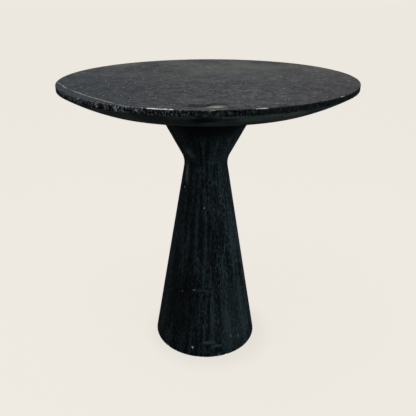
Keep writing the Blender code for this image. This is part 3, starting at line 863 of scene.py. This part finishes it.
def top_stone():
    """Dark serpentine slab: honed face, polished mottled band, smooth underside, and painted highlights along
    its upper edge.
    """
    material, wires, position, shader = new_material("dark_stone_top", IOR=1.45, Specular_IOR_Level=0.3)
    x, y, z = wires.parts(position)
    out = wires.from_axis(x, y)
    in_dent = wires.times(wires.fade(out, TOP_RADIUS - 14 * MM, TOP_RADIUS - 18 * MM),
                          wires.fade(z, TABLE_HEIGHT - 4 * MM, TABLE_HEIGHT - 3 * MM))
    on_face = wires.fade(z, TABLE_HEIGHT - 1.2 * MM, TABLE_HEIGHT - 0.2 * MM)
    on_face = wires.math("MAXIMUM", on_face, in_dent)
    on_bevel = wires.fade(z, TABLE_HEIGHT - EDGE_BAND - 0.2 * MM, TABLE_HEIGHT - EDGE_BAND - 1.2 * MM)
    mottled = wires.place(position, (1, 1, 0.6))
    face, face_rough, honing = honed_face(wires, position, x, y)
    band, band_rough, crystals_and_glints = polished_band(wires, mottled, x, y)
    bevel, bevel_rough = smooth_bevel(wires, position, mottled)
    colour = wires.tint(on_face, wires.tint(on_bevel, band, bevel), face)
    # Painted highlight: pale glints laid along the upper arris
    colour = wires.lay(colour, (0.80, 0.82, 0.81, 1), painted_edge_glints(wires, position, x, y, z, out))
    roughness = wires.blend(on_face, wires.blend(on_bevel, band_rough, bevel_rough), face_rough)
    pits = wires.noise(position, 900.0, 3.0, 0.6)
    relief = wires.math("MULTIPLY_ADD", crystals_and_glints, 1.5, pits)
    relief = wires.math("ADD", relief, wires.times(honing, on_face))
    normal = wires.bump(relief, 0.12 * MM, 0.8)
    dress(wires, shader, Base_Color=colour, Roughness=roughness, Normal=normal)
    return material


def pedestal_stone():
    """Dark serpentine column: vertical streaks, broad bands, short dark dashes, pale specks and its marks,
    among them painted shade under the top and a painted light patch low on the right.
    """
    material, wires, position, shader = new_material("dark_stone_pedestal", IOR=1.30)
    upright = wires.place(position, (1.0, 1.0, 0.15))
    grain, cloud, dashes = stone_grain(wires, upright, 130.0, 16.0)
    fine = wires.noise(wires.place(position, (1, 1, 0.115)), 470.0, 2.0, 0.65)
    x, y, z = wires.parts(position)
    out = wires.from_axis(x, y)
    east, north = wires.math("DIVIDE", x, out), wires.math("DIVIDE", y, out)
    around = wires.add("CombineXYZ", 0, {0: east, 1: north, 2: wires.times(z, 0.7)})
    bands = wires.noise(around, 7.0, 5.0, 0.65)
    specks = wires.use(FLECKS, "Mask", Position=position, Scale=55.0, Share=0.02, Radius=0.09)
    colour = wires.tint(grain, (0.0006, 0.0018, 0.0024, 1), (0.0150, 0.0310, 0.0370, 1))
    for mask, tone in (
        (wires.times(cloud, 0.45), (0.0085, 0.0175, 0.0215, 1)),
        (wires.times(dashes, 0.9), (0.0003, 0.0008, 0.0008, 1)),
        (wires.fade(fine, 0.52, 0.64, 0.0, 0.66), (0.0490, 0.0730, 0.0815, 1)),
        (wires.fade(fine, 0.49, 0.40, 0.0, 0.95), (0.0004, 0.0010, 0.0012, 1)),
        (wires.fade(bands, 0.52, 0.38, 0.0, 0.75), (0.0006, 0.0014, 0.0016, 1)),
        (wires.fade(bands, 0.50, 0.66, 0.0, 0.50), (0.0300, 0.0490, 0.0560, 1)),
        (wires.times(specks, 0.5), (0.30, 0.32, 0.32, 1)),
    ):
        colour = wires.tint(mask, colour, tone)
    colour = with_spots(wires, position, colour, [
        (on_cone(azimuth, height), tuple(side * MM for side in size), tone, strength, ragged)
        for azimuth, height, size, tone, strength, ragged in PEDESTAL_MARKS
    ])
    roughness = wires.fade(wires.math("ADD", grain, cloud), 0.0, 2.0, 0.50, 0.66)
    pits = wires.noise(upright, 800.0, 3.0, 0.6)
    normal = wires.bump(wires.math("SUBTRACT", pits, wires.times(dashes, 1.2)), 0.12 * MM, 0.6)
    dress(wires, shader, Base_Color=colour, Roughness=roughness, Normal=normal)
    return material


# ---------------- finishes of the hardware

def metal(name, bright, dull, rough, rings=900.0, wear_scale=60.0):
    """Turned metal: rings of the tool in the normal, and wear that dulls the colour and the gloss."""
    material, wires, position, shader = new_material(name, Metallic=1.0)
    node = wires.use(TURNED_FINISH, "Height", Position=position, Rings=rings, Wear_Scale=wear_scale).node
    colour = wires.tint(node.outputs["Wear"], bright, dull)
    roughness = wires.fade(node.outputs["Wear"], 0, 1, rough, rough + 0.22)
    normal = wires.bump(node.outputs["Height"], 0.04 * MM, 0.7)
    dress(wires, shader, Base_Color=colour, Roughness=roughness, Normal=normal)
    return material


def soft_stuff(name, light, dark, rough, scale, stretch, bits_share=0.0, bits_colour=(0, 0, 0, 1)):
    """Felt, cork or nylon: matted fibres or granules, with dark bits in that share of the cells."""
    material, wires, position, shader = new_material(name, Specular_IOR_Level=0.3)
    node = wires.use(FIBRES, "Shade", Position=position, Scale=scale, Stretch=stretch).node
    colour = wires.tint(node.outputs["Shade"], dark, light)
    bits = wires.use(FLECKS, "Mask", Position=position, Scale=scale * 0.5, Share=bits_share, Radius=0.5)
    colour = wires.tint(bits, colour, bits_colour)
    roughness = wires.fade(node.outputs["Height"], 0.3, 0.7, rough, min(1.0, rough + 0.12))
    normal = wires.bump(node.outputs["Height"], 0.4 * MM, 0.6)
    dress(wires, shader, Base_Color=colour, Roughness=roughness, Normal=normal)
    return material


# ---------------- assembly

def put_together():
    """Makes each piece, gives it its finish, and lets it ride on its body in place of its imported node."""
    zinc = metal("zinc_plated_steel", (0.62, 0.63, 0.64, 1), (0.40, 0.41, 0.40, 1), 0.24)
    black_steel = metal("blackened_steel", (0.030, 0.031, 0.034, 1), (0.085, 0.082, 0.078, 1), 0.34,
                        rings=700.0, wear_scale=40.0)
    brass = metal("brass", (0.72, 0.50, 0.19, 1), (0.42, 0.27, 0.10, 1), 0.24)
    nylon = soft_stuff("white_nylon", (0.74, 0.73, 0.69, 1), (0.62, 0.61, 0.57, 1), 0.42, 300.0, 0.9)
    cork = soft_stuff("cork", (0.40, 0.25, 0.13, 1), (0.21, 0.12, 0.06, 1), 0.85, 420.0, 0.8,
                      bits_share=0.22, bits_colour=(0.07, 0.035, 0.018, 1))
    felt = soft_stuff("grey_felt", (0.115, 0.118, 0.120, 1), (0.050, 0.052, 0.054, 1), 0.88, 1500.0, 0.12)
    finishes = {"zinc_steel": zinc, "black_steel": black_steel, "brass": brass, "white_nylon": nylon,
                "cork": cork, "grey_felt": felt}
    pieces = {
        "tabletop": make_tabletop(),
        "pedestal": make_pedestal(),
        "tie_rod": make_tie_rod(),
        "head_nut": make_nut("head_nut"),
        "foot_nut": make_nut("foot_nut"),
        "disc_spring": make_disc_spring(),
        "plate_hub": make_hub(),
        "head_gasket": make_soft_ring("cork_ring", "head_gasket", inner=40 * MM, seed=21, sink=0.05 * MM),
        "foot_felt": make_soft_ring("felt_ring", "foot_felt", inner=44 * MM, seed=22, sink=0.12 * MM),
    }
    easings = {"upper_bush": 0.6, "lower_bush": 0.6, "head_washer": 0.4, "anchor_plate": 0.8,
               "slip_washer": 0.3}
    for node, easing in easings.items():
        pieces[node] = make_ring(node, easing * MM)
    for i in range(1, SCREW_COUNT + 1):
        pieces[f"plate_screw_{i}"] = make_screw(f"plate_screw_{i}")
        pieces[f"threaded_insert_{i}"] = make_insert(f"threaded_insert_{i}")

    record = frame["record"]
    body_of = {node: body for body, nodes in record["behaviour"]["bodies"].items() for node in nodes}
    slot_of = {row["node"]: row["material_slot"] for row in record["subparts"]}
    stones = {"tabletop": top_stone(), "pedestal": pedestal_stone()}
    for node, piece in pieces.items():
        piece.data.materials.append(stones[node] if node in stones else finishes[slot_of[node]])
        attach(piece, body_of[node])
        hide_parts(node)
    for node in set(slot_of) - set(pieces):
        for place in frame["nodes"][node].material_slots:
            place.material = finishes[slot_of[node]]


# ---------------- studio

# The pale tone of floor and background, how bright the floor shows it, and how much of a shadow it takes
STUDIO_WHITE = (0.847, 0.812, 0.745, 1)
FLOOR_GLOW = 0.978
FLOOR_SHADE = 0.05


def make_floor():
    """A wide pale floor, evenly lit to the camera but for a faint soft shadow, partly cast and partly painted
    round the foot, and dim in reflections.
    """
    mesh = bpy.data.meshes.new("studio_floor")
    reach = 30.0
    corners = [(-reach, -reach, 0), (reach, -reach, 0), (reach, reach, 0), (-reach, reach, 0)]
    mesh.from_pydata(corners, [], [(0, 1, 2, 3)])
    floor = bpy.data.objects.new("studio_floor", mesh)
    bpy.context.scene.collection.objects.link(floor)
    material = bpy.data.materials.new("pale_floor")
    material.use_nodes = True
    wires = Wires(material.node_tree)
    material.node_tree.nodes.remove(material.node_tree.nodes["Principled BSDF"])
    position = wires.add("TexCoord", "Object", {})
    # Painted shadow: the glow drops in a soft ring round the foot
    from_foot = wires.vector("LENGTH", wires.place(position, shift=(-0.012, 0.004, 0)), output="Value")
    shadow_start, shadow_end = FOOT_RADIUS - 10 * MM, FOOT_RADIUS + 60 * MM
    glow = wires.fade(from_foot, shadow_start, shadow_end, FLOOR_GLOW * 0.93, FLOOR_GLOW)
    seen = wires.add("Emission", 0, {"Color": STUDIO_WHITE, "Strength": glow})
    shade_tone = (*(FLOOR_SHADE * part for part in STUDIO_WHITE[:3]), 1)
    both = wires.add("AddShader", 0, {0: seen, 1: wires.add("BsdfDiffuse", 0, {"Color": shade_tone})})
    bounce = wires.add("BsdfDiffuse", 0, {"Color": (0.07, 0.068, 0.064, 1)})
    camera_ray = wires.add("LightPath", "Is Camera Ray", {})
    look = wires.add("MixShader", 0, {0: camera_ray, 1: bounce, 2: both})
    material.node_tree.links.new(look, material.node_tree.nodes["Material Output"].inputs["Surface"])
    mesh.materials.append(material)


def make_world():
    """A dim room, lighter overhead. Where the camera sees it, it has the same pale tone as the floor."""
    world = bpy.data.worlds.new("studio")
    bpy.context.scene.world = world
    world.use_nodes = True
    wires = Wires(world.node_tree)
    background = world.node_tree.nodes["Background"]
    upward = wires.parts(wires.add("TexCoord", "Generated", {}))[2]
    room = wires.tint(wires.fade(upward, 0.0, 0.14), (0.10, 0.105, 0.11, 1), (0.270, 0.277, 0.292, 1))
    camera_ray = wires.add("LightPath", "Is Camera Ray", {})
    world.node_tree.links.new(wires.tint(camera_ray, room, STUDIO_WHITE), background.inputs["Color"])


def add_light(name, place, aim, size, power, mirrored=True):
    """A soft square light that points from its place to its aim, and may be left out of reflections."""
    data = bpy.data.lights.new(name, "AREA")
    data.size = size
    data.energy = power
    light = bpy.data.objects.new(name, data)
    light.visible_glossy = mirrored
    light.location = place
    light.rotation_euler = (Vector(aim) - Vector(place)).to_track_quat("-Z", "Y").to_euler()
    bpy.context.scene.collection.objects.link(light)


def make_camera():
    """Stands in front of the table a little left of its axis, and looks down by 23.5 degrees."""
    data = bpy.data.cameras.new("camera")
    data.lens = 43.48
    data.shift_x = 0.048
    camera = bpy.data.objects.new("camera", data)
    camera.location = (-0.0464, -1.2187, 0.9116)
    level = Euler((math.pi / 2 - 0.4093, 0, 0)).to_matrix()
    camera.rotation_euler = (level @ Euler((0, 0, -0.0086)).to_matrix()).to_euler()
    bpy.context.scene.collection.objects.link(camera)
    bpy.context.scene.camera = camera


put_together()
make_floor()
make_world()
add_light("overhead softbox", (-0.5, -0.3, 2.6), (0, 0, 0.6), size=1.2, power=30)
add_light("left low softbox", (-1.3, -0.9, 0.08), (-0.15, -0.15, 0.66), size=0.8, power=3, mirrored=False)
add_light("right softbox", (1.9, -1.4, 0.9), (0, 0, 0.2), size=1.0, power=26, mirrored=False)
make_camera()
bpy.context.scene.view_settings.view_transform = "Standard"
